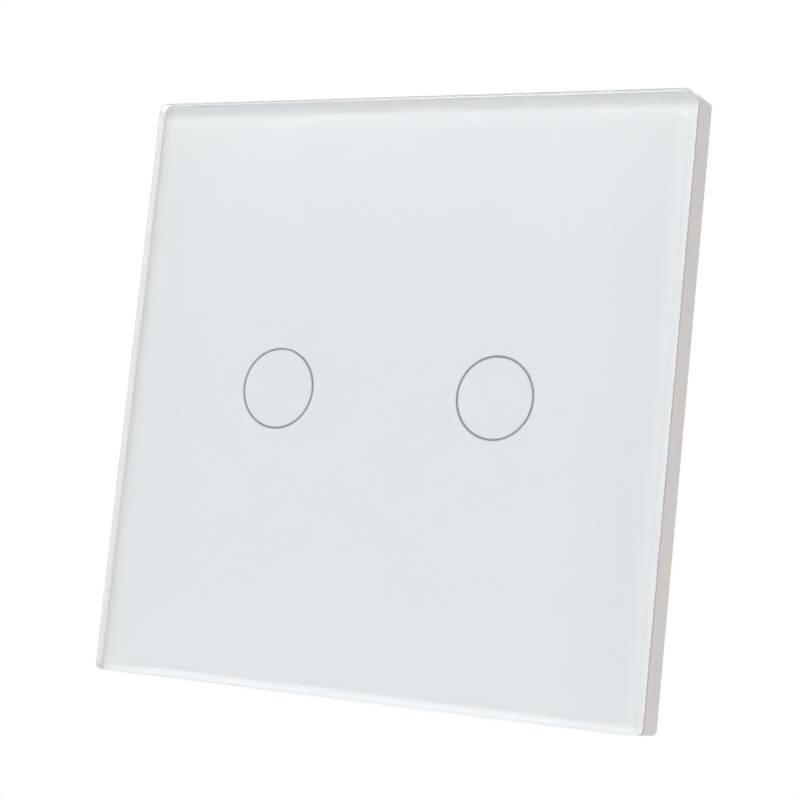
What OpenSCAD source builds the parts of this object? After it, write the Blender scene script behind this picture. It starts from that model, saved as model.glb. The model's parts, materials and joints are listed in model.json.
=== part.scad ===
// Two-gang touch light switch for a round wall box. A back-painted glass front on a plastic frame pulls off
// a flush base that holds the touch springs, two relays and three screw terminals.
// The origin is the middle of the wall plane, X runs to the right, Z up, and the front looks along -Y.

/* [Front panel] */
// Width and height of the glass and of the frame behind it
panel_w = 80; // [78:0.5:90]
// Thickness of the glass
glass_t = 2.8; // [2:0.1:5]
// Corner radius of the glass
glass_corner_r = 1; // [0.8:0.1:4]
// Ground bevel along the edges of the glass
glass_bevel = 0.3; // [0.1:0.05:0.5]
// Thickness of the paint on the back of the glass
print_t = 0.1; // [0.05:0.05:0.3]
// Thickness of the tape between glass and frame
tape_t = 0.2; // [0.1:0.05:0.5]
// Width of the tape strip
tape_w = 7; // [4:0.5:9]
// Distance from the glass outline to the tape
tape_inset = 0.8; // [0.4:0.1:2]
// Depth of the frame behind the tape
frame_d = 4.4; // [4.4:0.1:7]
// Thickness of the frame's rim
frame_rim = 1.6; // [1.2:0.1:2]
// Thickness of the frame's web, which carries the tape
frame_web = 1.2; // [0.8:0.1:1.4]
// Corner radius of the frame
frame_corner_r = 0.7; // [0.2:0.1:1.2]
// Width of the notch in the lower rim for levering the panel off
notch_w = 12; // [6:1:30]
// Depth of that notch along the rim's side
notch_d = 1.4; // [0.8:0.1:2]

/* [Touch rings] */
// Distance between the centres of the two rings
ring_pitch = 32.5; // [30:0.5:35]
// Radius of the middle of a ring's line
ring_r = 5.4; // [4.8:0.1:6]
// Width of a ring's line
ring_line = 0.3; // [0.2:0.05:0.8]
// Height of the rings above the middle of the panel
ring_rise = 0.3; // [0:0.1:1.5]
// Width of the light guide under a ring's line
guide_w = 1.6; // [1:0.1:2]
// Outer radius of a touch spring's curls
spring_r = 2.6; // [2:0.1:3.2]
// Diameter of the spring wire
spring_wire = 0.5; // [0.3:0.05:0.6]
// Curls in a spring
spring_curls = 5; // [3:1:5]

/* [Bracket] */
// Space between the bracket and the rim of the frame round it
bracket_room = 2.9; // [2.6:0.1:4]
// Thickness of the steel
bracket_t = 1; // [0.8:0.1:1.3]
// Corner radius of the bracket
bracket_corner_r = 4; // [2:0.5:8]
// Distance between opposite wall box screws
box_pitch = 60; // [58:0.5:61]
// Width of a slot for a wall box screw
slot_w = 4.6; // [4:0.1:5.2]
// Length of such a slot from end to end
slot_len = 8.6; // [6:0.1:9]
// Width of a bent lug that holds the panel
lug_w = 8; // [5:0.5:12]
// Distance between the two lugs on one edge
lug_pitch = 40; // [30:1:46]
// Thickness of the frame's latch arms beside the lugs
latch_t = 1.2; // [0.8:0.1:1.4]

/* [Housing] */
// Width and height of the rear housing
housing_w = 50; // [49:0.5:52]
// Length of the corner cuts that let it into a round box
housing_cut = 8.5; // [8:0.25:10]
// Wall of the housing
housing_wall = 1.6; // [1.2:0.1:2]
// Radius of the corner bosses
boss_r = 3; // [2.6:0.1:3.2]
// Thickness of the front wall of the module cover
cover_front_t = 1; // [0.8:0.1:1.2]
// Side wall of the module cover
cover_wall = 1.4; // [1:0.1:2]
// Rim of the module cover outside the light guides
cover_margin = 3.5; // [3:0.25:5]
// Shank radius of a housing screw
screw_r = 1.1; // [0.9:0.05:1.3]
// Head radius of a housing screw
screw_head_r = 2.1; // [1.8:0.05:2.2]
// Head height of a housing screw
screw_head_h = 1.3; // [0.9:0.1:1.5]
// Length of a housing screw inside its boss
screw_bite = 8; // [5:0.5:12]

/* [Boards] */
// Thickness of both circuit boards
board_t = 1.2; // [0.8:0.1:1.6]
// Distance from the wall plane back to the touch board
touch_depth = 1; // [1:0.1:3]
// Space between the two boards
board_space = 14.8; // [14:0.1:20]
// Pins in the plug joint between the boards
pin_count = 6; // [3:1:8]
// Distance between neighbouring pins
pin_pitch = 2.54; // [2:0.01:2.54]
// Radius of a pin
pin_r = 0.35; // [0.25:0.05:0.4]

/* [Supply parts] */
// Width of the film capacitor
film_w = 12; // [8:0.5:13]
// Thickness of the film capacitor
film_t = 6; // [4:0.5:7]
// Height of the film capacitor
film_h = 11; // [8:0.5:13]
// Radius of the smoothing capacitor
smooth_r = 4; // [3:0.1:4.5]
// Height of the smoothing capacitor
smooth_h = 11.5; // [7:0.5:13]
// Radius of the varistor disc
varistor_r = 4.4; // [3:0.1:4.8]
// Thickness of the varistor disc
varistor_t = 3.4; // [2.5:0.1:4]
// Radius of the fuse body
fuse_r = 1.5; // [1:0.1:1.7]
// Length of the fuse body
fuse_len = 7; // [5:0.5:10]

/* [Relays] */
// Width of a relay
relay_w = 10; // [9.5:0.1:10.5]
// Length of a relay
relay_len = 18; // [17.5:0.1:18.5]
// Height of a relay
relay_h = 12.5; // [11.5:0.1:13.5]
// Wall of a relay's case
relay_wall = 0.6; // [0.4:0.1:0.8]
// Distance between the two relays
relay_pitch = 22; // [20.5:0.25:22]
// Height of the relays above the middle of the board
relay_rise = 3; // [2:0.1:3.5]
// Angle by which an armature stands open, in degrees
armature_tilt = 5; // [3:0.5:6]

/* [Terminals] */
// Distance between neighbouring terminals
terminal_pitch = 9.5; // [8.5:0.1:10]
// Width of a clamp cage
cage_w = 6; // [5.4:0.1:6.6]
// Length of a clamp cage along the wire
cage_len = 6; // [5.6:0.1:7]
// Side wall of a cage
cage_wall = 0.8; // [0.6:0.05:0.9]
// Thickness of the cage floor that lifts the wire
cage_floor = 1; // [0.7:0.1:1.4]
// Thickness of the cage roof that the screw runs in
cage_roof = 1.2; // [0.9:0.1:1.8]
// Clear height for the wire in an open terminal
wire_room = 2.2; // [2.2:0.1:3]
// Radius of a wire entry
wire_r = 1.1; // [0.8:0.05:1.1]
// Width of a contact bar
bar_w = 3.6; // [2.4:0.1:3.8]
// Thickness of a contact bar
bar_t = 0.8; // [0.6:0.05:1]
// Shank radius of a terminal screw
clamp_r = 1.5; // [1.2:0.05:1.6]
// Head radius of a terminal screw
clamp_head_r = 2.6; // [2:0.05:2.7]
// Head height of a terminal screw
clamp_head_h = 1.8; // [1.4:0.1:1.9]

/* [Clearances] */
// Between pieces that pass each other
gap = 0.3; // [0.2:0.05:0.4]
// Between a guided piece and its guide
slide_gap = 0.15; // [0.1:0.05:0.25]
// Between a pin or shank and its hole
pin_gap = 0.05; // [0.03:0.01:0.08]

/* [Hidden] */
$fn = 64;
hair = 0.02;       // paint line between a ring mark and its window
past = 1;          // how far a cutting tool runs past the face it cuts

// Depths from the glass back to the wall plane
frame_front = -frame_d;
tape_front = frame_front - tape_t;
print_front = tape_front - print_t;
glass_front = print_front - glass_t;
web_rear = frame_front + frame_web;

// Module cover and light guides
cover_set_back = 0.6;
cover_front = tape_front + cover_set_back;
cover_inner = cover_front + cover_front_t;
guide_out_r = ring_r + guide_w / 2;
guide_flange = 0.8;
cover_w = ring_pitch + 2 * (guide_out_r + cover_margin);
cover_corner_r = 3;
peg_r = 1.5;
peg_z = 15;

// Bracket
bracket_w = panel_w - 2 * (frame_rim + bracket_room);
opening_side = 1.2;
opening_over = 2;
slit_side = 2;
slit_over = 1;
opening_w = ring_pitch + 2 * (spring_r + opening_side);
opening_h = 2 * (ring_r + ring_rise + opening_over);
slit_w = 2 * (peg_r + slit_side);
slit_h = 2 * (peg_z + peg_r + slit_over);
opening_corner_r = 1.5;

// Housing shell: a square with its corners cut, given by its width and the reach from its middle to a cut
housing_reach = (housing_w - housing_cut) / sqrt(2);
inner_w = housing_w - 2 * housing_wall;
inner_reach = housing_reach - housing_wall;
boss_x = (housing_reach - housing_wall / 2 - boss_r) / sqrt(2);
rib_out = 1.6;
rib_w = 2;
rib_z = 9;

// Boards
touch_rear = touch_depth + board_t;
power_front = touch_rear + board_space;
power_rear = power_front + board_t;
strip_t = 2.5;
strip_w = 2.5;
pin_inset = 3.2;
pin_z = inner_w / 2 - pin_inset;
pin_tip = 0.5;
pin_grip = 4;

// Touch board parts
chip_size = [7.6, 4, 0.9];
chip_z = -7;
lamp_size = [1.6, 1.6, 0.6];

// Supply parts: below the relays, between them, and above them beside the plug joint
relay_low = relay_rise - relay_len / 2;
film_off = 0.5;
film_room = 2.4;
film_x = -film_w / 2 - film_off;
film_z = relay_low - film_room - film_t / 2;
varistor_off = 2.2;
varistor_x = varistor_r + varistor_off;
varistor_lift = 1;
lead_r = 0.35;
lead_out = 1.2;
smooth_up = 2;
smooth_z = relay_rise + smooth_up;
smooth_groove = 0.35;
rectifier_size = [4.6, 3.8, 2.4];
rectifier_room = 2.7;
rectifier_z = smooth_z - smooth_r - rectifier_room - rectifier_size.y / 2;
fuse_room = 2.45;
fuse_z = pin_z - strip_w / 2 - fuse_room - fuse_r;
fuse_lift = 0.4;

// Relay works, seen on the board: x across, y along the relay, z up from the board
relay_base_t = 1.2;
yoke_t = 1;
yoke_w = 5;
swing_room = 2.7;
pole_top = relay_h - relay_wall - swing_room;
yoke_room = 0.8;
yoke_y = -relay_len / 2 + relay_wall + yoke_room;
hinge_y = yoke_y + yoke_t / 2;
coil_room = 0.4;
coil_r = relay_w / 2 - relay_wall - coil_room;
core_room = 1;
core_y = yoke_y + yoke_t + coil_r + core_room;
core_r = 1.4;
pole_r = 2.2;
pole_t = 0.6;
flange_t = 0.6;
bobbin_wall = 0.45;
winding_inset = 0.5;
winding_r = coil_r - winding_inset;
armature_t = 0.8;
armature_gap = 0.1;
blade_t = 0.25;
blade_w = 3;
contact_inset = 2.6;
contact_y = relay_len / 2 - relay_wall - contact_inset;
contact_r = 1;
contact_t = 0.7;
closed_gap = 0.08;
blade_low = pole_top + armature_gap + armature_t;
post_top = blade_low - 2 * contact_t - closed_gap;

// Terminals: depths from the power board back to the rear wall
clamp_gap = 0.2;
cage_travel = wire_room - clamp_gap;
cage_room = 0.5;
cage_front = power_rear + cage_room;
floor_rear = cage_front + cage_floor;
bar_front = floor_rear + wire_room;
bar_rear = bar_front + bar_t;
roof_room = 0.4;
roof_front = bar_rear + roof_room;
cage_rear = roof_front + cage_roof;
head_front = cage_rear + cage_travel + gap;
head_sunk = 0.4;
rear_inner = head_front + head_sunk;
housing_d = rear_inner + housing_wall;

// Terminals: heights from the lower wall upwards
lower_wall_z = -inner_w / 2;
entry_len = 1.6;
cage_low_z = lower_wall_z + entry_len + gap;
cage_high_z = cage_low_z + cage_len;
clamp_z = (cage_low_z + cage_high_z) / 2;
tail_room = 1.2;
tail_z = cage_high_z + tail_room;
tail_w = 1.6;
cell_high_z = tail_z + bar_t + gap;
cell_wall = 1.6;
wire_y = (floor_rear + bar_front) / 2;
funnel_flare = 0.9;
funnel_r = wire_r + funnel_flare;
funnel_d = 0.9;
slot_cut = 0.7;
slot_deep = 0.9;

// Rear face: vents above the terminals and a bare recess
vent_count = 5;
vent_w = 1.6;
vent_len = 14;
vent_pitch = 4.4;
vent_z = 14;
field_w = 24;
field_h = 10;
field_d = 0.4;
field_z = -1;
rear_edge = 0.8;

// A flat shape drawn in x and z, from depth y0 back to depth y1
module slab(y0, y1) {
  translate([0, y1, 0]) rotate([90, 0, 0]) linear_extrude(y1 - y0) children();
}

// A round bar along the depth
module rod(x, z, y0, y1, r) {
  translate([x, y1, z]) rotate([90, 0, 0]) cylinder(h = y1 - y0, r = r);
}

// A block between two corners
module block(low, high) {
  translate(low) cube(high - low);
}

module rounded(w, h, r) {
  square([w - 2 * r, h], center = true);
  square([w, h - 2 * r], center = true);
  for (sx = [-1, 1], sz = [-1, 1]) translate([sx * (w / 2 - r), sz * (h / 2 - r)]) circle(r);
}

module slot(len, w) {
  square([len - w, w], center = true);
  for (s = [-1, 1]) translate([s * (len - w) / 2, 0]) circle(w / 2);
}

// A square with cut corners
module cut_square(w, reach) {
  intersection() {
    square(w, center = true);
    rotate(45) square(2 * reach, center = true);
  }
}

module annulus(r, w) {
  difference() {
    circle(r + w / 2);
    circle(r - w / 2);
  }
}

module at_rings() {
  for (s = [-1, 1]) translate([s * ring_pitch / 2, ring_rise]) children();
}

module at_corners(d) {
  for (sx = [-1, 1], sz = [-1, 1]) translate([sx * d, sz * d]) children();
}

module on_touch_board(x, z) {
  translate([x, touch_depth, z]) rotate([90, 0, 0]) children();
}

module on_power_board(x, z) {
  translate([x, power_front, z]) rotate([90, 0, 0]) children();
}

// Front panel

module bevelled_bar() {
  w = panel_w / 2;
  b = glass_bevel;
  linear_extrude(panel_w - 2 * glass_corner_r, center = true)
    polygon([[b - w, 0], [w - b, 0], [w, b], [w, glass_t - b],
      [w - b, glass_t], [b - w, glass_t], [-w, glass_t - b], [-w, b]]);
}

module bevelled_corner() {
  r = glass_corner_r;
  b = glass_bevel;
  rotate([-90, 0, 0]) rotate_extrude()
    polygon([[0, 0], [r - b, 0], [r, b], [r, glass_t - b], [r - b, glass_t], [0, glass_t]]);
}

module glass_panel() {
  d = panel_w / 2 - glass_corner_r;
  color([0.86, 0.93, 0.92, 0.4]) translate([0, glass_front, 0]) {
    bevelled_bar();
    rotate([0, 90, 0]) bevelled_bar();
    for (sx = [-1, 1], sz = [-1, 1]) translate([sx * d, 0, sz * d]) bevelled_corner();
  }
}

module back_print() {
  w = panel_w - 2 * glass_bevel;
  color([0.9, 0.92, 0.93]) slab(print_front, tape_front) difference() {
    rounded(w, w, glass_corner_r - glass_bevel);
    at_rings() annulus(ring_r, ring_line + 2 * hair);
  }
}

module ring_marks() {
  color([0.5, 0.5, 0.51]) slab(print_front, tape_front) at_rings() annulus(ring_r, ring_line);
}

module panel_tape() {
  w = panel_w - 2 * tape_inset;
  color([0.85, 0.84, 0.8]) slab(tape_front, frame_front) difference() {
    square(w, center = true);
    square(w - 2 * tape_w, center = true);
  }
}

module panel_frame() {
  inner = panel_w - 2 * frame_rim;
  opening = cover_w + 2 * gap;
  arm_z = bracket_w / 2 + slide_gap;
  arm_rear = -bracket_t - gap;
  color([0.8, 0.78, 0.76]) difference() {
    union() {
      slab(frame_front, 0) difference() {
        rounded(panel_w, panel_w, frame_corner_r);
        square(inner, center = true);
      }
      slab(frame_front, web_rear) difference() {
        square(inner + frame_rim, center = true);
        rounded(opening, opening, cover_corner_r + gap);
      }
      for (s = [-1, 1], sx = [-1, 1]) {
        slab(frame_front, arm_rear)
          translate([sx * lug_pitch / 2, s * (arm_z + latch_t / 2)]) square([lug_w, latch_t], center = true);
      }
    }
    block([-notch_w / 2, -notch_d, -panel_w / 2 - past], [notch_w / 2, past, -panel_w / 2 + frame_rim / 2]);
  }
}

// Base, between the panel and the wall plane

module box_slots() {
  for (s = [-1, 1]) {
    translate([s * box_pitch / 2, 0]) slot(slot_len, slot_w);
    translate([0, s * box_pitch / 2]) rotate(90) slot(slot_len, slot_w);
  }
}

module mounting_bracket() {
  color([0.72, 0.73, 0.74]) {
    slab(-bracket_t, 0) difference() {
      rounded(bracket_w, bracket_w, bracket_corner_r);
      rounded(opening_w, opening_h, opening_corner_r);
      rounded(slit_w, slit_h, opening_corner_r);
      box_slots();
      at_corners(boss_x) circle(screw_r + gap);
    }
    slab(web_rear + gap, 0) for (s = [-1, 1], sx = [-1, 1])
      translate([sx * lug_pitch / 2, s * (bracket_w - bracket_t) / 2])
        square([lug_w, bracket_t], center = true);
  }
}

module module_cover() {
  head_seat = cover_front + screw_head_h + slide_gap;
  color([0.93, 0.93, 0.92]) difference() {
    union() {
      slab(cover_front, cover_inner) rounded(cover_w, cover_w, cover_corner_r);
      slab(cover_front, -bracket_t) difference() {
        rounded(cover_w, cover_w, cover_corner_r);
        square(cover_w - 2 * cover_wall, center = true);
      }
      slab(cover_front, -bracket_t) at_corners(boss_x) circle(boss_r);
      for (s = [-1, 1]) rod(0, s * peg_z, cover_front, touch_depth, peg_r);
    }
    slab(cover_front - past, cover_inner + past) at_rings() circle(guide_out_r + slide_gap);
    slab(cover_front - past, -bracket_t + past) at_corners(boss_x) circle(screw_r + pin_gap);
    slab(cover_front - past, head_seat) at_corners(boss_x) circle(screw_head_r + slide_gap);
  }
}

module housing_screws() {
  head_seat = cover_front + screw_head_h + slide_gap;
  color([0.62, 0.62, 0.63]) for (sx = [-1, 1], sz = [-1, 1]) difference() {
    union() {
      rod(sx * boss_x, sz * boss_x, head_seat - screw_head_h, head_seat, screw_head_r);
      rod(sx * boss_x, sz * boss_x, head_seat - screw_head_h, screw_bite, screw_r);
    }
    for (turn = [0, 90]) translate([sx * boss_x, head_seat - screw_head_h, sz * boss_x]) rotate([0, turn, 0])
      cube([2 * screw_r, screw_head_h, screw_r / 2], center = true);
  }
}

// Touch board and what stands on it

module board_shape() {
  difference() {
    cut_square(inner_w - 2 * gap, inner_reach - gap);
    at_corners(boss_x) circle(boss_r + gap);
  }
}

module pin_places() {
  for (i = [0 : pin_count - 1]) translate([(i - (pin_count - 1) / 2) * pin_pitch, pin_z]) children();
}

module touch_board() {
  color([0.12, 0.36, 0.22]) slab(touch_depth, touch_rear) difference() {
    board_shape();
    pin_places() circle(pin_r + pin_gap);
  }
}

module touch_chip() {
  color([0.14, 0.14, 0.15]) on_touch_board(0, chip_z) {
    block([-chip_size.x / 2, -chip_size.y / 2, 0], [chip_size.x / 2, chip_size.y / 2, chip_size.z]);
  }
}

// Centre line of a spring, from the touch board forward to the print: a helix of 8 points a curl
curl_steps = 8;
wire_sides = 6;
spring_mid_r = spring_r - spring_wire / 2;
spring_rear = touch_depth - spring_wire / 2;
spring_front = tape_front + gap + spring_wire / 2;
spring_steps = spring_curls * curl_steps;
spring_rise = (spring_rear - spring_front) / spring_curls;
spring_lead = atan(spring_rise / (2 * PI * spring_mid_r));

function helix(i) = let (a = 360 * i / curl_steps)
  [spring_mid_r * cos(a), spring_rear - spring_rise * i / curl_steps, spring_mid_r * sin(a)];

function wire_ring(i) = let (a = 360 * i / curl_steps)
  [for (j = [0 : wire_sides - 1]) let (b = 360 * j / wire_sides, u = cos(b), v = sin(b))
    helix(i) + spring_wire / 2 * [u * cos(a) - v * sin(spring_lead) * sin(a), v * cos(spring_lead),
      u * sin(a) + v * sin(spring_lead) * cos(a)]];

spring_self_gap = min([for (i = [0 : spring_steps], j = [i + curl_steps / 2 : 1 : spring_steps])
  norm(helix(i) - helix(j))]) - spring_wire;
echo(spring_self_gap = spring_self_gap);

module touch_spring(side) {
  n = wire_sides;
  last = n * spring_steps;
  points = [for (i = [0 : spring_steps]) each wire_ring(i)];
  sides = [for (i = [0 : spring_steps - 1], j = [0 : n - 1])
    let (a = n * i + j, b = n * i + (j + 1) % n) each [[a, a + n, b + n], [a, b + n, b]]];
  ends = [for (k = [1 : n - 2]) each [[0, k, k + 1], [last, last + k + 1, last + k]]];
  color([0.78, 0.78, 0.76]) translate([side * ring_pitch / 2, 0, ring_rise])
    polyhedron(points, concat(sides, ends));
}

module touch_spring_left() { touch_spring(-1); }

module touch_spring_right() { touch_spring(1); }

module light_ring(side) {
  front = tape_front + gap;
  color([0.95, 0.95, 0.93, 0.8]) translate([side * ring_pitch / 2, 0, ring_rise]) {
    slab(front, -bracket_t - gap) annulus(ring_r, guide_w);
    slab(cover_inner, cover_inner + guide_flange) annulus(ring_r + guide_flange / 2, guide_w + guide_flange);
  }
}

module light_ring_left() { light_ring(-1); }

module light_ring_right() { light_ring(1); }

module indicator_lamps() {
  color([0.95, 0.9, 0.7]) for (s = [-1, 1], t = [-1, 1])
    on_touch_board(s * ring_pitch / 2, ring_rise + t * ring_r)
      translate([0, 0, lamp_size.z / 2]) cube(lamp_size, center = true);
}

// Plug joint between the boards

module board_pins() {
  color([0.83, 0.7, 0.35]) slab(touch_depth - pin_tip, power_front - pin_grip) pin_places() circle(pin_r);
}

module strip_shape() {
  difference() {
    translate([0, pin_z]) square([pin_count * pin_pitch, strip_w], center = true);
    pin_places() circle(pin_r + pin_gap);
  }
}

module pin_strip() {
  color([0.1, 0.1, 0.11]) slab(touch_rear, touch_rear + strip_t) strip_shape();
}

module board_socket() {
  color([0.13, 0.13, 0.14]) slab(touch_rear + strip_t, power_front) strip_shape();
}

// Power board and the supply parts on it

module power_board() {
  color([0.13, 0.38, 0.24]) slab(power_front, power_rear) difference() {
    board_shape();
    for (sx = [-1, 1], sz = [-1, 1]) translate([sx * inner_w / 2, sz * rib_z])
      square([2 * (rib_out + gap), rib_w + 2 * gap], center = true);
    for (i = [-1 : 1]) translate([i * terminal_pitch, tail_z + bar_t / 2])
      square([tail_w + 2 * slide_gap, bar_t + 2 * slide_gap], center = true);
  }
}

module film_capacitor() {
  color([0.75, 0.6, 0.2]) on_power_board(film_x, film_z)
    translate([0, 0, film_h / 2]) cube([film_w, film_t, film_h], center = true);
}

module smoothing_capacitor() {
  groove = smooth_groove;
  color([0.16, 0.18, 0.24]) on_power_board(0, smooth_z) difference() {
    cylinder(h = smooth_h, r = smooth_r);
    translate([0, 0, 2 * groove]) difference() {
      cylinder(h = 2 * groove, r = smooth_r + past);
      cylinder(h = 2 * groove, r = smooth_r - groove);
    }
  }
}

module varistor() {
  color([0.2, 0.35, 0.6]) on_power_board(varistor_x, film_z) {
    translate([0, varistor_t / 2, varistor_r + varistor_lift]) rotate([90, 0, 0])
      cylinder(h = varistor_t, r = varistor_r);
    for (s = [-1, 1]) translate([s * varistor_r / 2, 0, 0]) cylinder(h = varistor_r, r = lead_r);
  }
}

module fuse() {
  span = fuse_len / 2 + lead_out;
  color([0.55, 0.62, 0.66]) on_power_board(0, fuse_z) {
    translate([-fuse_len / 2, 0, fuse_r + fuse_lift]) rotate([0, 90, 0]) cylinder(h = fuse_len, r = fuse_r);
    translate([-span, 0, fuse_r + fuse_lift]) rotate([0, 90, 0]) cylinder(h = 2 * span, r = lead_r);
    for (s = [-1, 1]) translate([s * span, 0, 0]) cylinder(h = fuse_r + fuse_lift + lead_r, r = lead_r);
  }
}

module rectifier() {
  color([0.12, 0.12, 0.13]) on_power_board(0, rectifier_z)
    translate([0, 0, rectifier_size.z / 2]) cube(rectifier_size, center = true);
}

// Relays

module in_relay(side) {
  on_power_board(side * relay_pitch / 2, relay_rise) children();
}

module relay_case(side) {
  color([0.15, 0.3, 0.55]) in_relay(side) difference() {
    translate([0, 0, relay_h / 2]) cube([relay_w, relay_len, relay_h], center = true);
    block([relay_wall - relay_w / 2, relay_wall - relay_len / 2, -past],
      [relay_w / 2 - relay_wall, relay_len / 2 - relay_wall, relay_h - relay_wall]);
  }
}

module relay_base(side) {
  inset = relay_wall + pin_gap;
  color([0.1, 0.1, 0.11]) in_relay(side)
    block([inset - relay_w / 2, inset - relay_len / 2, 0],
      [relay_w / 2 - inset, relay_len / 2 - inset, relay_base_t]);
}

module relay_yoke(side) {
  color([0.6, 0.61, 0.62]) in_relay(side) {
    block([-yoke_w / 2, yoke_y, relay_base_t], [yoke_w / 2, core_y + pole_r, relay_base_t + yoke_t]);
    block([-yoke_w / 2, yoke_y, relay_base_t], [yoke_w / 2, yoke_y + yoke_t, pole_top]);
  }
}

module relay_core(side) {
  foot = relay_base_t + yoke_t;
  color([0.55, 0.56, 0.58]) in_relay(side) translate([0, core_y, 0]) {
    translate([0, 0, foot]) cylinder(h = pole_top - foot, r = core_r);
    translate([0, 0, pole_top - pole_t]) cylinder(h = pole_t, r = pole_r);
  }
}

module relay_bobbin(side) {
  low = relay_base_t + yoke_t;
  high = pole_top - pole_t - armature_gap;
  color([0.85, 0.83, 0.76]) in_relay(side) translate([0, core_y, low]) difference() {
    union() {
      cylinder(h = high - low, r = core_r + pin_gap + bobbin_wall);
      cylinder(h = flange_t, r = coil_r);
      translate([0, 0, high - low - flange_t]) cylinder(h = flange_t, r = coil_r);
    }
    translate([0, 0, -past]) cylinder(h = high - low + 2 * past, r = core_r + pin_gap);
  }
}

module relay_winding(side) {
  low = relay_base_t + yoke_t + flange_t;
  high = pole_top - pole_t - armature_gap - flange_t;
  color([0.7, 0.4, 0.2]) in_relay(side) translate([0, core_y, low]) difference() {
    cylinder(h = high - low, r = winding_r);
    translate([0, 0, -past]) cylinder(h = high - low + 2 * past, r = core_r + 2 * pin_gap + bobbin_wall);
  }
}

module relay_contact(side) {
  color([0.78, 0.55, 0.3]) in_relay(side) {
    block([-blade_w / 2, contact_y - contact_r, relay_base_t],
      [blade_w / 2, contact_y + contact_r, post_top]);
    translate([0, contact_y, post_top]) cylinder(h = contact_t, r = contact_r);
  }
}

// The moving works stand open by the tilt about the line where the armature meets the yoke
module tilted(side) {
  in_relay(side) translate([0, hinge_y, pole_top + armature_gap]) rotate([armature_tilt, 0, 0]) children();
}

module relay_armature(side) {
  color([0.6, 0.61, 0.62]) tilted(side)
    block([-yoke_w / 2, -yoke_t / 2, 0], [yoke_w / 2, core_y - hinge_y + pole_r, armature_t]);
}

module relay_blade(side) {
  reach = contact_y - hinge_y;
  color([0.8, 0.55, 0.3]) tilted(side) {
    block([-blade_w / 2, yoke_t, armature_t], [blade_w / 2, reach + contact_r, armature_t + blade_t]);
    translate([0, reach, armature_t - contact_t]) cylinder(h = contact_t, r = contact_r);
  }
}

module relay_case_left() { relay_case(-1); }

module relay_base_left() { relay_base(-1); }

module relay_yoke_left() { relay_yoke(-1); }

module relay_core_left() { relay_core(-1); }

module relay_bobbin_left() { relay_bobbin(-1); }

module relay_winding_left() { relay_winding(-1); }

module relay_contact_left() { relay_contact(-1); }

module relay_armature_left() { relay_armature(-1); }

module relay_blade_left() { relay_blade(-1); }

module relay_case_right() { relay_case(1); }

module relay_base_right() { relay_base(1); }

module relay_yoke_right() { relay_yoke(1); }

module relay_core_right() { relay_core(1); }

module relay_bobbin_right() { relay_bobbin(1); }

module relay_winding_right() { relay_winding(1); }

module relay_contact_right() { relay_contact(1); }

module relay_armature_right() { relay_armature(1); }

module relay_blade_right() { relay_blade(1); }

// Terminals

module terminal_bars() {
  color([0.8, 0.66, 0.36]) for (i = [-1 : 1]) translate([i * terminal_pitch, 0, 0]) {
    block([-bar_w / 2, bar_front, cage_low_z], [bar_w / 2, bar_rear, tail_z + bar_t]);
    block([-bar_w / 2, power_rear, tail_z], [bar_w / 2, bar_rear, tail_z + bar_t]);
    block([-tail_w / 2, power_front, tail_z], [tail_w / 2, bar_rear, tail_z + bar_t]);
  }
}

module terminal_cage(i) {
  x = i * terminal_pitch;
  window = cage_w / 2 - cage_wall;
  color([0.7, 0.71, 0.72]) difference() {
    block([x - cage_w / 2, cage_front, cage_low_z], [x + cage_w / 2, cage_rear, cage_high_z]);
    block([x - window, floor_rear, cage_low_z - past], [x + window, roof_front, cage_high_z + past]);
    rod(x, clamp_z, roof_front - past, cage_rear + past, clamp_r + pin_gap);
  }
}

module terminal_screw(i) {
  x = i * terminal_pitch;
  head_rear = head_front + clamp_head_h;
  color([0.74, 0.74, 0.72]) difference() {
    union() {
      rod(x, clamp_z, bar_rear + slide_gap, head_rear, clamp_r);
      rod(x, clamp_z, head_front, head_rear, clamp_head_r);
    }
    block([x - clamp_head_r - past, head_rear - slot_deep, clamp_z - slot_cut / 2],
      [x + clamp_head_r + past, head_rear + past, clamp_z + slot_cut / 2]);
  }
}

module terminal_cage_left() { terminal_cage(-1); }

module terminal_cage_middle() { terminal_cage(0); }

module terminal_cage_right() { terminal_cage(1); }

module terminal_screw_left() { terminal_screw(-1); }

module terminal_screw_middle() { terminal_screw(0); }

module terminal_screw_right() { terminal_screw(1); }

// Rear housing

module housing_shell() {
  difference() {
    slab(0, housing_d) cut_square(housing_w, housing_reach);
    slab(-past, rear_inner) cut_square(inner_w, inner_reach);
  }
}

// Ribs that carry the boards: long ones at the sides for the touch board, short ones on top for the other
module board_ribs() {
  for (sx = [-1, 1], sz = [-1, 1]) slab(touch_rear, rear_inner)
    translate([sx * (inner_w - rib_out) / 2, sz * rib_z]) square([rib_out, rib_w], center = true);
  for (sx = [-1, 1]) slab(power_rear, rear_inner)
    translate([sx * rib_z, (inner_w - rib_out) / 2]) square([rib_w, rib_out], center = true);
}

module terminal_cells() {
  guide = cage_w / 2 + slide_gap;
  for (i = [-1 : 1]) translate([i * terminal_pitch, 0, 0])
    block([-guide, power_rear, lower_wall_z], [guide, bar_rear, lower_wall_z + entry_len]);
  for (s = [-1, 1]) {
    block([s * terminal_pitch / 2 + guide - terminal_pitch / 2, power_rear, lower_wall_z],
      [s * terminal_pitch / 2 - guide + terminal_pitch / 2, rear_inner, cell_high_z]);
    translate([s * (terminal_pitch + guide + cell_wall / 2), 0, 0])
      block([-cell_wall / 2, power_rear, lower_wall_z], [cell_wall / 2, rear_inner, cell_high_z]);
  }
}

// Slanted cuts that take the sharp edge off the rear face, one for each of its eight sides
module rear_edges() {
  side = rear_edge * sqrt(2);
  for (k = [0 : 7]) rotate([0, 45 * k, 0])
    translate([k % 2 == 0 ? housing_w / 2 : housing_reach, housing_d, 0])
      rotate([0, 0, 45]) cube([side, side, housing_w], center = true);
}

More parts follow.
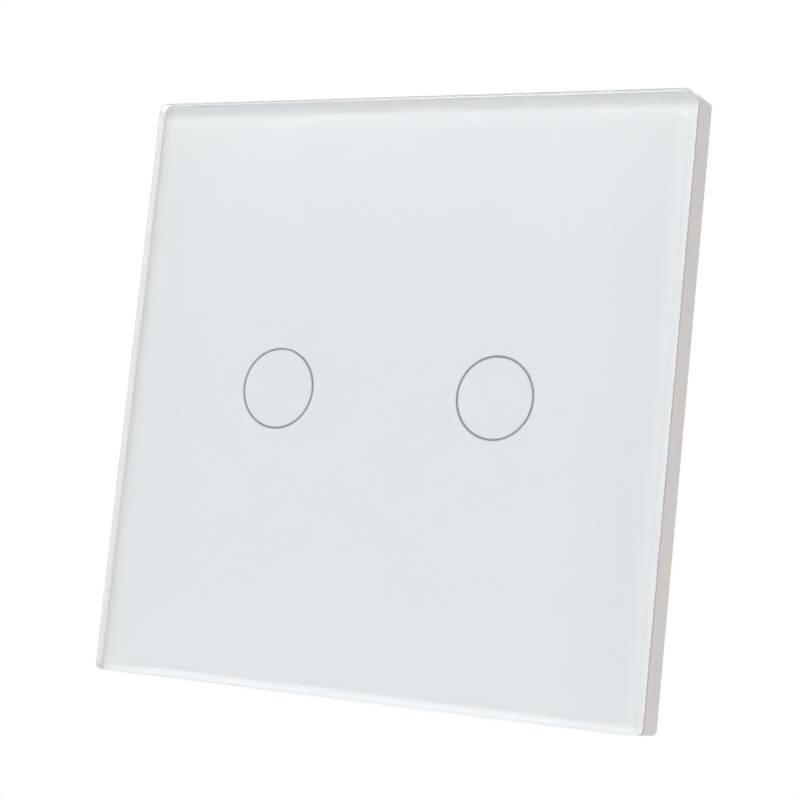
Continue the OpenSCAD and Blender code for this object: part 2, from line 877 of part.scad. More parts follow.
module wire_entry(x) {
  translate([x, wire_y, -housing_w / 2]) {
    translate([0, 0, -past]) cylinder(h = housing_wall + entry_len + 2 * past, r = wire_r);
    translate([0, 0, -past]) cylinder(h = funnel_d + past, r = funnel_r);
  }
}

module rear_housing() {
  color([0.92, 0.92, 0.9]) difference() {
    union() {
      housing_shell();
      board_ribs();
      terminal_cells();
      slab(0, rear_inner) at_corners(boss_x) circle(boss_r);
    }
    slab(-past, screw_bite + gap) at_corners(boss_x) circle(screw_r + pin_gap);
    for (i = [-1 : 1]) {
      wire_entry(i * terminal_pitch);
      rod(i * terminal_pitch, clamp_z, rear_inner - past, housing_d + past, clamp_head_r + gap);
    }
    slab(rear_inner - past, housing_d + past) for (k = [0 : vent_count - 1])
      translate([(k - (vent_count - 1) / 2) * vent_pitch, vent_z]) rotate(90) slot(vent_len, vent_w);
    slab(housing_d - field_d, housing_d + past) translate([0, field_z])
      square([field_w, field_h], center = true);
    rear_edges();
  }
}

glass_panel();
back_print();
ring_marks();
panel_tape();
panel_frame();
mounting_bracket();
module_cover();
housing_screws();
rear_housing();
touch_board();
touch_chip();
touch_spring_left();
touch_spring_right();
light_ring_left();
light_ring_right();
indicator_lamps();
board_pins();
pin_strip();
board_socket();
power_board();
film_capacitor();
smoothing_capacitor();
varistor();
fuse();
rectifier();
relay_case_left();
relay_base_left();
relay_yoke_left();
relay_core_left();
relay_bobbin_left();
relay_winding_left();
relay_contact_left();
relay_armature_left();
relay_blade_left();
relay_case_right();
relay_base_right();
relay_yoke_right();
relay_core_right();
relay_bobbin_right();
relay_winding_right();
relay_contact_right();
relay_armature_right();
relay_blade_right();
terminal_bars();
terminal_screw_left();
terminal_screw_middle();
terminal_screw_right();
terminal_cage_left();
terminal_cage_middle();
terminal_cage_right();
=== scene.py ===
"""Looks of the two-gang touch light switch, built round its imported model.

Metres, in the part's own frame: X right, Z up, the front looks along -Y and the wall plane is y = 0.
New shapes are worked out as whole arrays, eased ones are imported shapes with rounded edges, and finishes
are node trees on Object coordinates.
"""
import json
import math

import bmesh
import bpy
import numpy as np
from mathutils import Matrix, Vector

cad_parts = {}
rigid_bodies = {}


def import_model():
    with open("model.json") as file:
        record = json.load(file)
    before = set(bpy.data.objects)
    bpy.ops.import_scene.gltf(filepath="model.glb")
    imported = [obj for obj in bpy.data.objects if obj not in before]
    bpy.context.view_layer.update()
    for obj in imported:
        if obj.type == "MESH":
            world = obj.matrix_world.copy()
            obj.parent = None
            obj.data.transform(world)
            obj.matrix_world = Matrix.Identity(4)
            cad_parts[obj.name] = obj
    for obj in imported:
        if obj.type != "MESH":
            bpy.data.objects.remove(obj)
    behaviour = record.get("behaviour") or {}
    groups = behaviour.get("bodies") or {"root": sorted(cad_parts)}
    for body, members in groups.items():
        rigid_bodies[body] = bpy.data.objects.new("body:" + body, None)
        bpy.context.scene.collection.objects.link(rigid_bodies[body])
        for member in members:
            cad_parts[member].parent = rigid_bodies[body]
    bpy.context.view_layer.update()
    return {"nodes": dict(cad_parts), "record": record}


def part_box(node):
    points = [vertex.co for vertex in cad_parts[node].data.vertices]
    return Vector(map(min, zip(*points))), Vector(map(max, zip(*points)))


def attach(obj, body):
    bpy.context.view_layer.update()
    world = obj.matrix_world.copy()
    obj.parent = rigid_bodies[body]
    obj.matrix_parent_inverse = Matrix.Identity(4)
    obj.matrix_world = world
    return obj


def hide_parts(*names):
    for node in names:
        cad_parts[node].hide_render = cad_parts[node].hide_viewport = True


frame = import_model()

NODES = frame["nodes"]
BODY_OF = {n: body for body, group in frame["record"]["behaviour"]["bodies"].items() for n in group}
SLOT_OF = {row["node"]: row["material_slot"] for row in frame["record"]["subparts"]}
MM = 0.001
SCENE = bpy.context.scene

# The glass
GLASS_CORNER = 1.0 * MM
GLASS_BEVEL = 0.3 * MM
GLASS_REAR_BEVEL = 0.12 * MM
GLASS_EASE = 0.05 * MM
PRINT_CONTACT = 0.03 * MM

# Share of the light that the glass edge scatters, by the side it faces
RIGHT_SCATTER = 0.05
LEFT_AND_TOP_MORE = 0.7
BOTTOM_LESS = 0.02

# Springs and coils
SPRING_CURLS = 5
SPRING_WIRE = 0.5 * MM
COIL_TURNS = 30
COIL_BORE = 1.95 * MM

# Indicator lamps: two for each ring, above and below its middle
RING_ACROSS = 16.25 * MM
RING_UP = 0.3 * MM
LAMP_OFFSET = 5.4 * MM

# Rounding of outer edges, in millimetres
EASED = {
    "rear_housing": 0.3,
    "module_cover": 0.25,
    "panel_frame": 0.12,
    "mounting_bracket": 0.12,
    "film_capacitor": 0.6,
    "smoothing_capacitor": 0.5,
    "rectifier": 0.15,
    "touch_chip": 0.1,
    "board_socket": 0.15,
    "pin_strip": 0.1,
    "relay_case_left": 0.3,
    "relay_case_right": 0.3,
    "terminal_screw_left": 0.2,
    "terminal_screw_middle": 0.2,
    "terminal_screw_right": 0.2,
}
SAME_POINT = 0.002 * MM
SAME_PLANE = 0.02 * MM
FLAT_ANGLE = math.radians(1)
EDGE_ANGLE = math.radians(25)
ROUNDING_STEPS = 3


# Shader maths

class Signal:
    """A socket whose value changes over a surface; arithmetic on it adds Math nodes."""

    def __init__(self, finish, socket):
        self.finish = finish
        self.socket = socket

    def math(self, operation, *values):
        return self.finish.node("ShaderNodeMath", dict(enumerate(values)), operation=operation)

    def __add__(self, other):
        return self.math("ADD", self, other)

    def __sub__(self, other):
        return self.math("SUBTRACT", self, other)

    def __rsub__(self, other):
        return self.math("SUBTRACT", other, self)

    def __mul__(self, other):
        return self.math("MULTIPLY", self, other)

    def __pow__(self, other):
        return self.math("POWER", self, other)

    def __abs__(self):
        return self.math("ABSOLUTE", self)

    def __lt__(self, other):
        return self.math("LESS_THAN", self, other)

    __radd__ = __add__
    __rmul__ = __mul__

    def most(self, other):
        return self.math("MAXIMUM", self, other)

    def beside(self, name):
        """Another output of the same node."""
        return Signal(self.finish, self.socket.node.outputs[name])

    def step(self, low, high):
        """0 below low, 1 above high and a smooth rise between them; a high under low turns it round."""
        return self.finish.node("ShaderNodeMapRange", {"Value": self, "From Min": low, "From Max": high},
                                interpolation_type="SMOOTHSTEP")


class Finish:
    """A node tree, emptied first, to which node() adds any node."""

    def __init__(self, tree):
        self.tree = tree
        tree.nodes.clear()

    def node(self, kind, inputs=None, out=0, **settings):
        """One node of that kind: its settings first, then the values or links of its sockets."""
        made = self.tree.nodes.new(kind)
        for key, value in settings.items():
            setattr(made, key, value)
        for key, value in (inputs or {}).items():
            if isinstance(value, Signal):
                self.tree.links.new(value.socket, made.inputs[key])
            else:
                made.inputs[key].default_value = value
        return Signal(self, made.outputs[out]) if made.outputs else made


class Paint(Finish):
    """The material of one of the record's slots; numbers that hold all over are set on the shader itself."""

    def __init__(self, slot, **constants):
        self.material = bpy.data.materials.new(slot)
        self.material.use_nodes = True
        super().__init__(self.material.node_tree)
        self.surface = self.node("ShaderNodeBsdfPrincipled",
                                 {key.replace("_", " "): value for key, value in constants.items()})
        self.result = self.node("ShaderNodeOutputMaterial")
        self.show(self.surface)
        self.place = self.node("ShaderNodeTexCoord", out="Object")

    def show(self, surface):
        """Puts this surface on the material's output."""
        self.tree.links.new(surface.socket, self.result.inputs["Surface"])

    def vary(self, **signals):
        """Links what changes over the surface to the shader's sockets of those names."""
        for key, value in signals.items():
            self.tree.links.new(value.socket, self.surface.socket.node.inputs[key.replace("_", " ")])

    def axes(self):
        """X, Y and Z of the place, in metres."""
        first = self.node("ShaderNodeSeparateXYZ", {0: self.place})
        return first, first.beside("Y"), first.beside("Z")

    def noise(self, size, detail=2.0, stretch=None):
        """Soft noise from 0 to 1 with lumps of about that size in millimetres.

        A stretch below 1 along an axis draws them out along it.
        """
        place = self.place
        if stretch:
            place = self.node("ShaderNodeVectorMath", {0: place, 1: stretch}, operation="MULTIPLY")
        return self.node("ShaderNodeTexNoise", {"Vector": place, "Scale": 1 / (size * MM), "Detail": detail})

    def cells(self, size, feature="F1", distance="EUCLIDEAN", scatter=1.0):
        """Distance to the nearest of points scattered about that many millimetres apart, in cells."""
        sockets = {"Vector": self.place, "Scale": 1 / (size * MM), "Randomness": scatter}
        return self.node("ShaderNodeTexVoronoi", sockets, feature=feature, distance=distance)

    def blend(self, factor, low, high):
        """The colour low where factor is 0, high where it is 1."""
        return self.node("ShaderNodeMix", {0: factor, 6: low, 7: high}, out=2, data_type="RGBA")

    def relief(self, height, depth):
        """Bump with a full height of depth, in millimetres."""
        self.vary(Normal=self.node("ShaderNodeBump", {"Height": height, "Distance": depth * MM}))


def shade(colour, share):
    """A colour made lighter or darker by a share."""
    return (*(min(1.0, c * share) for c in colour), 1.0)


# Finishes

def moulded(slot, colour, grain, depth, roughness, drift):
    """Moulded plastic: the tool's eroded grain as relief and gloss, and a slow drift of the colour."""
    paint = Paint(slot)
    fine = paint.noise(grain, 3.0)
    slow = paint.noise(14, 1.0)
    cloud = slow * 0.7 + fine * 0.3
    dark = shade(colour, 1 - drift)
    light = shade(colour, 1 + drift)
    paint.vary(Base_Color=paint.blend(cloud.step(0.25, 0.75), dark, light),
               Roughness=fine * 0.16 + (roughness - 0.08) + slow * 0.06)
    paint.relief(fine, depth)
    return paint.material


def plated(slot, colour, roughness, streak, cloud=0.10):
    """Plated metal: streaks along the rolling direction, soft clouds in the plating and small pits."""
    paint = Paint(slot, Metallic=1.0)
    lines = paint.noise(0.35, 4.0, streak)
    clouds = paint.noise(5.0, 3.0)
    pits = paint.cells(0.7).step(0.16, 0.06)
    tone = clouds * 0.65 + lines * 0.35
    warm = tuple(c * k for c, k in zip(colour, (1.0 - cloud, 1.0 - cloud * 1.15, 1.0 - cloud * 1.3)))
    paint.vary(Base_Color=paint.blend(tone.step(0.3, 0.7), shade(warm, 1.0), shade(colour, 1.04)),
               Roughness=lines * 0.18 + clouds * 0.14 + pits * 0.12 + (roughness - 0.16))
    paint.relief(lines * 0.8 - pits * 0.5, 0.004)
    return paint.material


def dipped(slot, colour, roughness=0.18):
    """Dipped lacquer or a shrunk sleeve: a glossy coat with a soft ripple, thinner and paler in places."""
    paint = Paint(slot, Coat_Roughness=0.08)
    ripple = paint.noise(1.3, 1.0)
    thin = paint.noise(3.5, 2.0)
    paint.vary(Base_Color=paint.blend(thin.step(0.3, 0.75), shade(colour, 0.9), shade(colour, 1.15)),
               Roughness=thin * 0.14 + roughness, Coat_Weight=ripple * 0.3 + 0.35)
    paint.relief(ripple, 0.03)
    return paint.material


def clear_glass(slot):
    """Clear glass, polished on both faces.

    The attribute ground is the share of light that its fine-ground edge scatters.
    """
    paint = Paint(slot, IOR=1.5, Transmission_Weight=1.0)
    ground = paint.node("ShaderNodeAttribute", out="Fac", attribute_name="ground")
    wave = paint.noise(2.5, 1.0)
    paint.vary(Base_Color=paint.blend(ground, (0.985, 0.995, 0.993, 1), (0.965, 0.985, 0.98, 1)),
               Roughness=ground * (wave * 0.02 + 0.02))
    frost = paint.node("ShaderNodeBsdfTranslucent", {"Color": (0.735, 0.735, 0.73, 1)})
    share = ground * (wave * 0.1 + 0.9)
    paint.show(paint.node("ShaderNodeMixShader", {0: share, 1: paint.surface, 2: frost}))
    return paint.material


def white_print(slot):
    """White paint fired on the glass from behind: it lies in the glass, so it has no gloss of its own."""
    paint = Paint(slot, Specular_IOR_Level=0.0)
    screen = paint.noise(0.3, 2.0)
    slow = paint.noise(22, 1.0)
    cover = screen * 0.3 + slow * 0.7
    paint.vary(Base_Color=paint.blend(cover, (0.875, 0.889, 0.903, 1), (0.889, 0.903, 0.917, 1)),
               Roughness=screen * 0.1 + 0.6)
    return paint.material


def grey_print(slot):
    """Grey paint of the ring lines, a little thinner here and there."""
    paint = Paint(slot, Specular_IOR_Level=0.0)
    thin = paint.noise(0.5, 2.0)
    cover = thin.step(0.3, 0.8)
    paint.vary(Base_Color=paint.blend(cover, (0.302, 0.330, 0.352, 1), (0.380, 0.412, 0.437, 1)),
               Roughness=thin * 0.2 + 0.5)
    return paint.material


def foam_tape(slot):
    """Acrylic foam: closed cells under a sticky skin."""
    paint = Paint(slot)
    bubble = paint.cells(0.22)
    paint.vary(Base_Color=paint.blend(bubble.step(0.1, 0.6), (0.66, 0.65, 0.62, 1), (0.80, 0.79, 0.76, 1)),
               Roughness=bubble * 0.3 + 0.55)
    paint.relief(bubble, 0.03)
    return paint.material


def circuit_board(slot):
    """Green solder resist over copper areas with angular borders, small tinned holes and a fine weave."""
    paint = Paint(slot, Coat_Roughness=0.2)
    near = paint.cells(3.4, "F1", "MANHATTAN")
    second = paint.cells(3.4, "F2", "MANHATTAN")
    copper = (second - near).step(0.10, 0.16)
    hole = paint.cells(4.6, scatter=0.8)
    ring = hole.step(0.16, 0.13)
    weave = paint.noise(0.5, 2.0, (1.0, 1.0, 0.35))
    green = paint.blend(copper, (0.012, 0.075, 0.036, 1), (0.03, 0.17, 0.085, 1))
    toned = paint.blend(weave * 0.35, green, (0.05, 0.22, 0.11, 1))
    paint.vary(Base_Color=paint.blend(ring, toned, (0.62, 0.60, 0.56, 1)), Metallic=ring,
               Roughness=weave * 0.2 + ring * 0.1 + 0.22, Coat_Weight=(1 - ring) * 0.4)
    paint.relief(copper + ring * 0.6, 0.035)
    return paint.material


def light_guide(slot):
    """Milky moulded light guide: scattering clouds just under a smooth skin."""
    paint = Paint(slot, Subsurface_Weight=0.5, Subsurface_Radius=(0.0012, 0.0012, 0.001),
                  Subsurface_Scale=1.0)
    milk = paint.noise(1.6, 3.0)
    paint.vary(Base_Color=paint.blend(milk.step(0.3, 0.7), (0.84, 0.845, 0.83, 1), (0.91, 0.91, 0.89, 1)),
               Roughness=milk * 0.12 + 0.22)
    paint.relief(milk, 0.01)
    return paint.material


def lamp_resin(slot, across, up, offset):
    """Indicator lamps: a pale body and a yellow phosphor spot at each lamp's middle, by distance from it."""
    paint = Paint(slot)
    x, _, z = paint.axes()
    from_x = abs(x) - across
    from_z = abs(z - up) - offset
    reach = (from_x * from_x + from_z * from_z) ** 0.5
    grain = paint.noise(0.2, 2.0)
    spot = reach.step(0.62 * MM, 0.5 * MM)
    paint.vary(Base_Color=paint.blend(spot, (0.82, 0.81, 0.77, 1), (0.86, 0.70, 0.16, 1)),
               Roughness=spot * -0.25 + grain * 0.15 + 0.45)
    paint.relief(1 - spot, 0.05)
    return paint.material


def winding_copper(slot):
    """Enamelled copper wire: metal under an amber coat, with the tone shifting from turn to turn."""
    paint = Paint(slot, Metallic=1.0, Coat_Roughness=0.12)
    turn = paint.noise(0.3, 2.0, (0.3, 1.0, 0.3))
    paint.vary(Base_Color=paint.blend(turn.step(0.3, 0.7), (0.52, 0.20, 0.07, 1), (0.74, 0.36, 0.15, 1)),
               Roughness=turn * 0.2 + 0.2, Coat_Weight=turn * 0.3 + 0.5)
    return paint.material


def table_top(slot):
    """Pale matt table: a fine grain and slow, wide clouds."""
    paint = Paint(slot)
    grain = paint.noise(1.2, 3.0)
    slow = paint.noise(90, 2.0)
    cloud = grain * 0.3 + slow * 0.7
    paint.vary(Base_Color=paint.blend(cloud, (0.74, 0.74, 0.745, 1), (0.78, 0.78, 0.78, 1)),
               Roughness=grain * 0.1 + 0.6)
    return paint.material


# Stretch of a streak: long along one axis
ALONG_X = (0.06, 1.0, 1.0)
ALONG_Y = (1.0, 0.06, 1.0)
ALONG_Z = (1.0, 1.0, 0.06)
# Colour, size of the grain and its depth in millimetres, roughness, drift of the colour
MOULDED = {
    "frame_plastic": ((0.76, 0.715, 0.685), 0.16, 0.006, 0.5, 0.02),
    "white_plastic": ((0.80, 0.80, 0.785), 0.22, 0.010, 0.46, 0.02),
    "black_plastic": ((0.025, 0.025, 0.028), 0.18, 0.010, 0.5, 0.15),
    "yellow_plastic": ((0.62, 0.43, 0.06), 0.3, 0.008, 0.34, 0.04),
    "relay_plastic": ((0.035, 0.09, 0.26), 0.25, 0.008, 0.34, 0.06),
    "bobbin_plastic": ((0.72, 0.69, 0.58), 0.2, 0.008, 0.42, 0.04),
}
# Colour, roughness, streak and, where it isn't the usual one, the strength of the clouds
PLATED = {
    "zinc_steel": ((0.66, 0.675, 0.69), 0.36, ALONG_X),
    "zinc_screw": ((0.63, 0.635, 0.64), 0.3, ALONG_Y),
    "spring_steel": ((0.66, 0.65, 0.63), 0.24, ALONG_Y, 0.06),
    "soft_iron": ((0.52, 0.52, 0.53), 0.34, ALONG_Z),
    "gilt_brass": ((0.83, 0.62, 0.25), 0.22, ALONG_Y, 0.05),
    "contact_copper": ((0.72, 0.42, 0.22), 0.28, ALONG_Z),
    "terminal_brass": ((0.75, 0.57, 0.26), 0.3, ALONG_Z),
}
# Colour and, where it isn't the usual one, roughness
DIPPED = {
    "sleeve_plastic": ((0.02, 0.025, 0.045), 0.22),
    "blue_lacquer": ((0.03, 0.09, 0.32),),
    "fuse_lacquer": ((0.26, 0.36, 0.42),),
}
ALONE = (clear_glass, white_print, grey_print, foam_tape, circuit_board, light_guide, winding_copper)

bpy.data.batch_remove(list(bpy.data.materials))
FINISHES = {make.__name__: make(make.__name__) for make in ALONE}
FINISHES["lamp_resin"] = lamp_resin("lamp_resin", RING_ACROSS, RING_UP, LAMP_OFFSET)
for make, table in ((moulded, MOULDED), (plated, PLATED), (dipped, DIPPED)):
    for slot, values in table.items():
        FINISHES[slot] = make(slot, *values)
for name, thing in NODES.items():
    thing.data.materials.clear()
    thing.data.materials.append(FINISHES[SLOT_OF[name]])


# Surfaces

def stand_in(mesh, node, sharp):
    """An object of that mesh which stands for a CAD node: it takes over its body and its finish."""
    mesh.polygons.foreach_set("use_smooth", np.ones(len(mesh.polygons), bool))
    mesh.set_sharp_from_angle(angle=math.radians(sharp))
    thing = bpy.data.objects.new(mesh.name, mesh)
    SCENE.collection.objects.link(thing)
    mesh.materials.append(FINISHES[SLOT_OF[node]])
    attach(thing, BODY_OF[node])
    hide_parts(node)
    return thing


def piece(name, points, faces, node, sharp):
    """A mesh from whole arrays that stands for a CAD node; edges over that many degrees stay sharp."""
    mesh = bpy.data.meshes.new(name)
    mesh.from_pydata(points, [], faces)
    mesh.validate()
    return stand_in(mesh, node, sharp)


def values_of(rows, key, width, kind=np.float32):
    """One property of a mesh's vertices, loops or faces as an array of that many columns."""
    values = np.empty(len(rows) * width, kind)
    rows.foreach_get(key, values)
    return values.reshape(-1, width)


def eased(node, width):
    """The node's own shape with its outermost edges rounded by a Bevel of that width, in millimetres.

    The triangles of a copy are merged into flat faces first. A face is outermost where no point of the
    piece lies in front of its plane: the greatest normal . point is the face's own normal . centre. The
    Bevel takes the edges at which two outermost faces meet at more than EDGE_ANGLE.
    """
    form = bmesh.new()
    form.from_mesh(NODES[node].data)
    bmesh.ops.remove_doubles(form, verts=form.verts, dist=SAME_POINT)
    bmesh.ops.dissolve_limit(form, verts=form.verts, edges=form.edges, angle_limit=FLAT_ANGLE)
    mesh = bpy.data.meshes.new(node + "_eased")
    form.to_mesh(mesh)
    form.free()
    if "custom_normal" in mesh.attributes:
        mesh.attributes.remove(mesh.attributes["custom_normal"])
    points = values_of(mesh.vertices, "co", 3)
    normals = values_of(mesh.polygons, "normal", 3)
    centres = values_of(mesh.polygons, "center", 3)
    in_front = (points @ normals.T).max(axis=0) - (centres * normals).sum(axis=1)
    outermost = in_front < SAME_PLANE
    # Each edge of a closed mesh lies in two loops, so loops sorted by edge give the edge's two faces
    loops_of_face = values_of(mesh.polygons, "loop_total", 1, np.int32)[:, 0]
    face_of_loop = np.repeat(np.arange(len(normals)), loops_of_face)
    by_edge = np.argsort(values_of(mesh.loops, "edge_index", 1, np.int32)[:, 0], kind="stable")
    sides = face_of_loop[by_edge].reshape(-1, 2)
    lean = (normals[sides[:, 0]] * normals[sides[:, 1]]).sum(axis=1)
    chosen = outermost[sides].all(axis=1) & (lean < math.cos(EDGE_ANGLE))
    weight = mesh.attributes.new("bevel_weight_edge", "FLOAT", "EDGE")
    weight.data.foreach_set("value", chosen.astype(np.float32))
    bevel = stand_in(mesh, node, 30).modifiers.new("ease", "BEVEL")
    bevel.width = width * MM
    bevel.segments = ROUNDING_STEPS
    bevel.limit_method = "WEIGHT"
    bevel.harden_normals = True
    bevel.use_clamp_overlap = False


def grid_faces(rows, columns):
    """Quads of a grid of rows by columns whose columns close on themselves."""
    i, j = np.meshgrid(np.arange(rows - 1) * columns, np.arange(columns), indexing="ij")
    k = (j + 1) % columns
    return np.stack([i + j, i + k, i + columns + k, i + columns + j], -1).reshape(-1, 4)


def capped(rows, columns):
    """The grid's quads and one face over each end."""
    first = [tuple(range(columns - 1, -1, -1))]
    last = [tuple(range((rows - 1) * columns, rows * columns))]
    return [tuple(q) for q in grid_faces(rows, columns)] + first + last


def rounded_square(half, radius, inset, steps):
    """Outline of a square with round corners: corner centre + (radius - inset) * direction.

    Each inset gives one row; the result is rows by points by (x, z), anticlockwise from +x +z.
    """
    turn = np.linspace(0, math.pi / 2, steps)
    angle = (np.arange(4)[:, None] * math.pi / 2 + turn).ravel()
    corner = np.repeat(np.array([[1, 1], [-1, 1], [-1, -1], [1, -1]], float), steps, 0)
    centre = corner * (half - radius)
    out = np.stack([np.cos(angle), np.sin(angle)], -1)
    return centre[None] + (radius - inset)[:, None, None] * out[None]


def glass_plate(name, node, front, rear, half):
    """Front glass: a profile of (inset, depth) carried round a rounded square.

    The profile runs from the front face over an eased bevel, down the side and over the rear bevel, which
    the white print covers. Each ease is a small arc: the corner point pulled towards both neighbours
    along a parabola. The edge scatters most at the left and the top and least at the bottom, by its
    outward direction, and the scatter fades out over the inner part of the bevel.
    """
    bevel = GLASS_BEVEL
    rear_bevel = GLASS_REAR_BEVEL
    inner = 3 * bevel
    arc = 5
    corner = np.array([[inner, front], [bevel, front], [0, front + bevel], [0, rear - rear_bevel],
                       [rear_bevel, rear], [inner, rear]])
    here = corner[1:-1]
    back = corner[:-2] - here
    ahead = corner[2:] - here
    enter = here + back / np.linalg.norm(back, axis=1, keepdims=True) * GLASS_EASE
    leave = here + ahead / np.linalg.norm(ahead, axis=1, keepdims=True) * GLASS_EASE
    t = np.linspace(0, 1, arc)[None, :, None]
    bend = (1 - t) ** 2 * enter[:, None] + 2 * t * (1 - t) * here[:, None] + t ** 2 * leave[:, None]
    profile = np.concatenate([corner[:1], bend.reshape(-1, 2), corner[-1:]])
    ring = rounded_square(half, GLASS_CORNER, profile[:, 0], 12)[:, ::-1]
    rows, columns = ring.shape[:2]
    depth = np.repeat(profile[:, 1], columns).reshape(rows, columns)
    points = np.stack([ring[..., 0], depth, ring[..., 1]], -1).reshape(-1, 3)
    thing = piece(name, points, capped(rows, columns), node, 20)

    edge = np.clip(1 - (profile[:, 0] - 0.6 * bevel) / (0.5 * bevel), 0, 1)
    right, up = (ring[rows // 2] - ring[0]).T / inner
    scatter = (RIGHT_SCATTER + LEFT_AND_TOP_MORE * (np.clip(-right, 0, 1) + np.clip(up, 0, 1))
               - BOTTOM_LESS * np.clip(-up, 0, 1))
    ground = np.outer(edge, np.clip(scatter, 0, 1)).ravel()
    layer = thing.data.attributes.new("ground", "FLOAT", "POINT")
    layer.data.foreach_set("value", ground.astype(np.float32))

    # The print covers the bands from the middle of the third arc, where the rear bevel begins, to the last
    band = np.arange(len(thing.data.polygons)) // columns
    painted = (band >= 1 + 2 * arc + arc // 2) & (band < rows - 1)
    thing.data.materials.append(FINISHES["white_print"])
    thing.data.polygons.foreach_set("material_index", painted.astype(np.int32))


def swept(path, radius, sides):
    """Tube round a path: centre + radius * (cos b * n + sin b * m), n and m square to the path's direction.

    n comes from the direction away from the mean of the path in x and z, and the ends close in a small dome.
    """
    ahead = np.gradient(path, axis=0)
    ahead /= np.linalg.norm(ahead, axis=1, keepdims=True)
    away = path - path.mean(0)
    away[:, 1] = 0
    n = away - (away * ahead).sum(1, keepdims=True) * ahead
    n /= np.linalg.norm(n, axis=1, keepdims=True)
    m = np.cross(ahead, n)
    lift = np.array([1.0, 0.87, 0.5, 0.1])
    slim = np.array([0.1, 0.5, 0.87, 1.0])
    dome = len(lift)
    centre = np.concatenate([path[0] - np.outer(lift, ahead[0]) * radius, path,
                             path[-1] + np.outer(lift[::-1], ahead[-1]) * radius])
    n = np.concatenate([np.repeat(n[:1], dome, 0), n, np.repeat(n[-1:], dome, 0)])
    m = np.concatenate([np.repeat(m[:1], dome, 0), m, np.repeat(m[-1:], dome, 0)])
    wide = radius * np.concatenate([slim, np.ones(len(path)), slim[::-1]])
    b = np.linspace(0, 2 * math.pi, sides, endpoint=False)
    spoke = np.cos(b)[None, :, None] * n[:, None] + np.sin(b)[None, :, None] * m[:, None]
    return (centre[:, None] + wide[:, None, None] * spoke).reshape(-1, 3), len(centre)


def smooth(v):
    """0 below 0, 1 above 1, and v * v * (3 - 2 * v) between them."""
    v = np.clip(v, 0, 1)
    return v ** 2 * (3 - 2 * v)


def touch_spring(name, node):
    """Contact spring: a helix whose pitch eases to one wire's width over the first and last turn.

    The rise is closed * t + k * (running sum of s), where s eases from 0 to 1 and back to 0 along the
    turns t, and k makes up the node's depth.
    """
    wire = SPRING_WIRE
    sides = 14
    low, high = (np.array(v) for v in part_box(node))
    middle = (low + high) / 2
    turns = SPRING_CURLS + 1.0
    t = np.linspace(0, turns, int(turns * 40) + 1)
    opening = smooth((t - 0.7) / 0.6) * smooth((turns - 0.7 - t) / 0.6)
    free = np.concatenate([[0], np.cumsum(opening)[:-1]])
    depth = high[1] - low[1] - wire
    closed = 1.02 * wire
    rise = closed * t + (depth - closed * turns) * free / free[-1]
    mid_r = (high[0] - low[0]) / 2 - wire / 2
    angle = 2 * math.pi * t
    path = np.stack([middle[0] + mid_r * np.cos(angle), high[1] - wire / 2 - rise,
                     middle[2] + mid_r * np.sin(angle)], -1)
    points, rows = swept(path, wire / 2, sides)
    piece(name, points, capped(rows, sides), node, 50)


def coil_body(name, node):
    """Relay winding: a turned profile whose outside is a row of half-round wires, leaning as a screw does.

    r(a, v) = R - w/2 + w/2 * sqrt(1 - u^2), with u the place across a wire from -1 to 1, shifted by
    a / 2 pi.
    """
    around = 72
    steps_per_turn = 6
    low, high = (np.array(v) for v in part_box(node))
    middle = (low + high) / 2
    outer = (high[0] - low[0]) / 2
    length = high[1] - low[1]
    wire = length / COIL_TURNS
    a = np.linspace(0, 2 * math.pi, around, endpoint=False)
    v = np.linspace(0, COIL_TURNS, COIL_TURNS * steps_per_turn + 1)
    u = ((v[:, None] + a[None] / (2 * math.pi)) % 1) * 2 - 1
    r = outer - wire / 2 + wire / 2 * np.sqrt(np.clip(1 - u ** 2, 0, 1))
    depth = low[1] + length * v / COIL_TURNS
    inner = np.full((1, around), COIL_BORE)
    r = np.concatenate([inner, r, inner])
    depth = np.concatenate([depth[:1], depth, depth[-1:]])
    rows = len(depth)
    points = np.stack([middle[0] + r * np.cos(a), np.repeat(depth[:, None], around, 1),
                       middle[2] + r * np.sin(a)], -1)
    first = np.arange(around)
    following = (first + 1) % around
    last_row = (rows - 1) * around
    bore = np.stack([first, last_row + first, last_row + following, following], -1)
    quads = np.concatenate([grid_faces(rows, around), bore])[:, ::-1]
    piece(name, points.reshape(-1, 3), quads.tolist(), node, 60)


# Pieces

glass_low, glass_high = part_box("glass_panel")
glass_plate("front_glass", "glass_panel", glass_low.y, glass_high.y + PRINT_CONTACT, glass_high.x)
for side in ("left", "right"):
    touch_spring(f"contact_spring_{side}", f"touch_spring_{side}")
    coil_body(f"relay_coil_{side}", f"relay_winding_{side}")
for node, width in EASED.items():
    eased(node, width)


# Stage, light and camera

def floor_disc(name, height, radius):
    """Round table top: rings at radius * s, level up to s = 0.9 and dipping beyond it by a parabola."""
    rings = 24
    around = 96
    s = np.linspace(0.02, 1, rings)
    a = np.linspace(0, 2 * math.pi, around, endpoint=False)
    r = radius * s
    z = height - 2 * radius * np.clip(s - 0.9, 0, 1) ** 2
    points = np.stack([r[:, None] * np.cos(a), r[:, None] * np.sin(a), np.repeat(z[:, None], around, 1)], -1)
    mesh = bpy.data.meshes.new(name)
    faces = [tuple(q[::-1]) for q in grid_faces(rings, around)] + [tuple(range(around))]
    mesh.from_pydata(points.reshape(-1, 3), [], faces)
    mesh.materials.append(table_top("table_top"))
    thing = bpy.data.objects.new(name, mesh)
    SCENE.collection.objects.link(thing)


floor_disc("table", -0.15, 0.36)

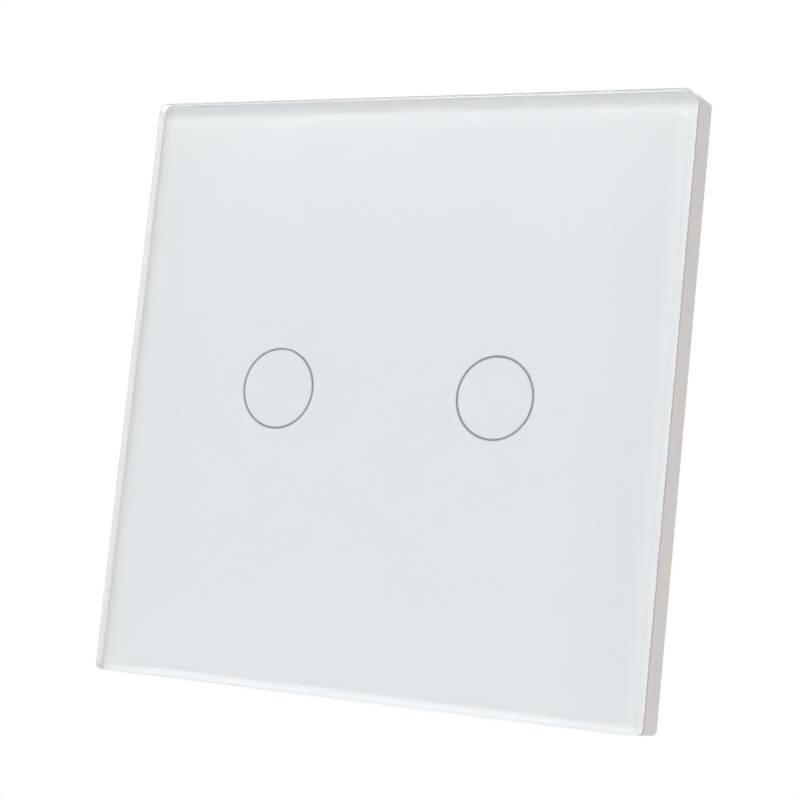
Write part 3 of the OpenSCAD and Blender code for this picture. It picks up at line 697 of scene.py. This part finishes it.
# Rays that have met no matt surface yet see plain white, straight or by way of glass or gloss. All others
# see a soft dome that is lighter towards the top.
world = bpy.data.worlds.new("studio")
SCENE.world = world
world.use_nodes = True
sky = Finish(world.node_tree)
straight = sky.node("ShaderNodeLightPath", out="Is Camera Ray")
seen = straight.most(straight.beside("Is Glossy Ray")).most(straight.beside("Is Transmission Ray"))
first = straight.beside("Diffuse Depth") < 0.5
height = sky.node("ShaderNodeSeparateXYZ", {0: sky.node("ShaderNodeTexCoord", out="Generated")}, out="Z")
dome = sky.node("ShaderNodeBackground", {"Color": (1.0, 1.0, 1.0, 1), "Strength": height * 0.20 + 0.36})
white = sky.node("ShaderNodeBackground", {"Color": (1.0, 1.0, 1.0, 1), "Strength": 1.0})
both = sky.node("ShaderNodeMixShader", {0: seen * first, 1: dome, 2: white})
sky.node("ShaderNodeOutputWorld", {"Surface": both})


def soft_lamp(name, place, aim, wide, tall, radiance):
    """A soft lamp that looks at a point: power = radiance * pi * area."""
    data = bpy.data.lights.new(name, "AREA")
    data.shape = "RECTANGLE"
    data.size = wide
    data.size_y = tall
    data.energy = radiance * math.pi * wide * tall
    lamp = bpy.data.objects.new(name, data)
    look = (Vector(aim) - Vector(place)).to_track_quat("-Z", "Y")
    lamp.matrix_world = Matrix.Translation(place) @ look.to_matrix().to_4x4()
    lamp.visible_camera = False
    lamp.visible_glossy = False
    SCENE.collection.objects.link(lamp)


soft_lamp("upper_lamp", (0.0, -0.55, 0.51), (0, 0, 0), 0.50, 0.42, 5.1)
soft_lamp("left_lamp", (-0.85, -1.05, 0.15), (0, 0, 0), 0.50, 0.80, 3.2)
soft_lamp("right_lamp", (0.9, 0.35, 0.1), (0, 0, 0), 0.60, 0.60, 2.1)
soft_lamp("rear_lamp", (-0.25, 0.55, 0.45), (0, 0.02, 0), 0.5, 0.5, 3.2)

# The camera was fitted to the corners of the glass and the frame and to the rings
CAMERA_PLACE = (0.13164, -0.24428, -0.02843)
RIGHT = Vector((0.87988, 0.46418, 0.10176)).normalized()
FORWARD = Vector((-0.47339, 0.87489, 0.10236))
FORWARD = (FORWARD - FORWARD.dot(RIGHT) * RIGHT).normalized()
camera = bpy.data.objects.new("camera", bpy.data.cameras.new("camera"))
camera.data.lens = 93.56
camera.data.sensor_width = 36.0
camera.data.clip_start = 0.01
turn = Matrix((RIGHT, RIGHT.cross(FORWARD), -FORWARD)).transposed().to_4x4()
camera.matrix_world = Matrix.Translation(CAMERA_PLACE) @ turn
SCENE.collection.objects.link(camera)
SCENE.camera = camera
SCENE.view_settings.view_transform = "Standard"
# The default blurs the light that reaches the print through the glass, and the bands along its edges go
SCENE.cycles.blur_glossy = 0.0
